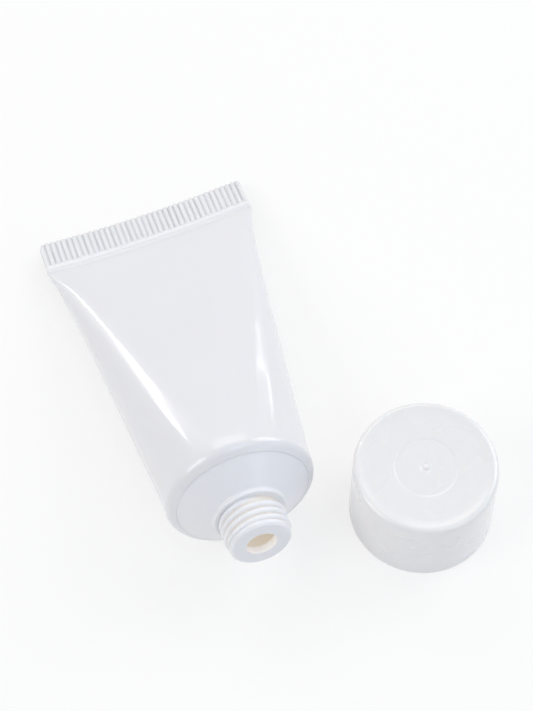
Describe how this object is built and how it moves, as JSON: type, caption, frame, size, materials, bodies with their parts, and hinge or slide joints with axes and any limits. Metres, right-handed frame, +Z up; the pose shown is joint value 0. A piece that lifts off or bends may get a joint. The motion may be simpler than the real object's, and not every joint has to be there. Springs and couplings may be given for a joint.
{
  "type": "cosmetic squeeze tube",
  "caption": "Squeeze tube with a fluted flat seal and a threaded neck, lying on its side, with its screw cap standing beside it.",
  "frame": {"origin": "on the surface that it lies on, under the middle of the box round the tube and the cap", "axes": "+Z up, +Y along the tube from its neck towards its flat seal, +X across the seal towards the cap"},
  "size_m": [0.0704, 0.1006, 0.0299],
  "materials": {
    "sleeve_film": "gloss",
    "head_plastic": "semi-gloss",
    "cap_plastic": "satin gloss"
  },
  "bodies": {
    "root": {"tube_sleeve": "sleeve_film", "tube_head": "head_plastic", "screw_cap": "cap_plastic"}
  },
  "joints": []
}
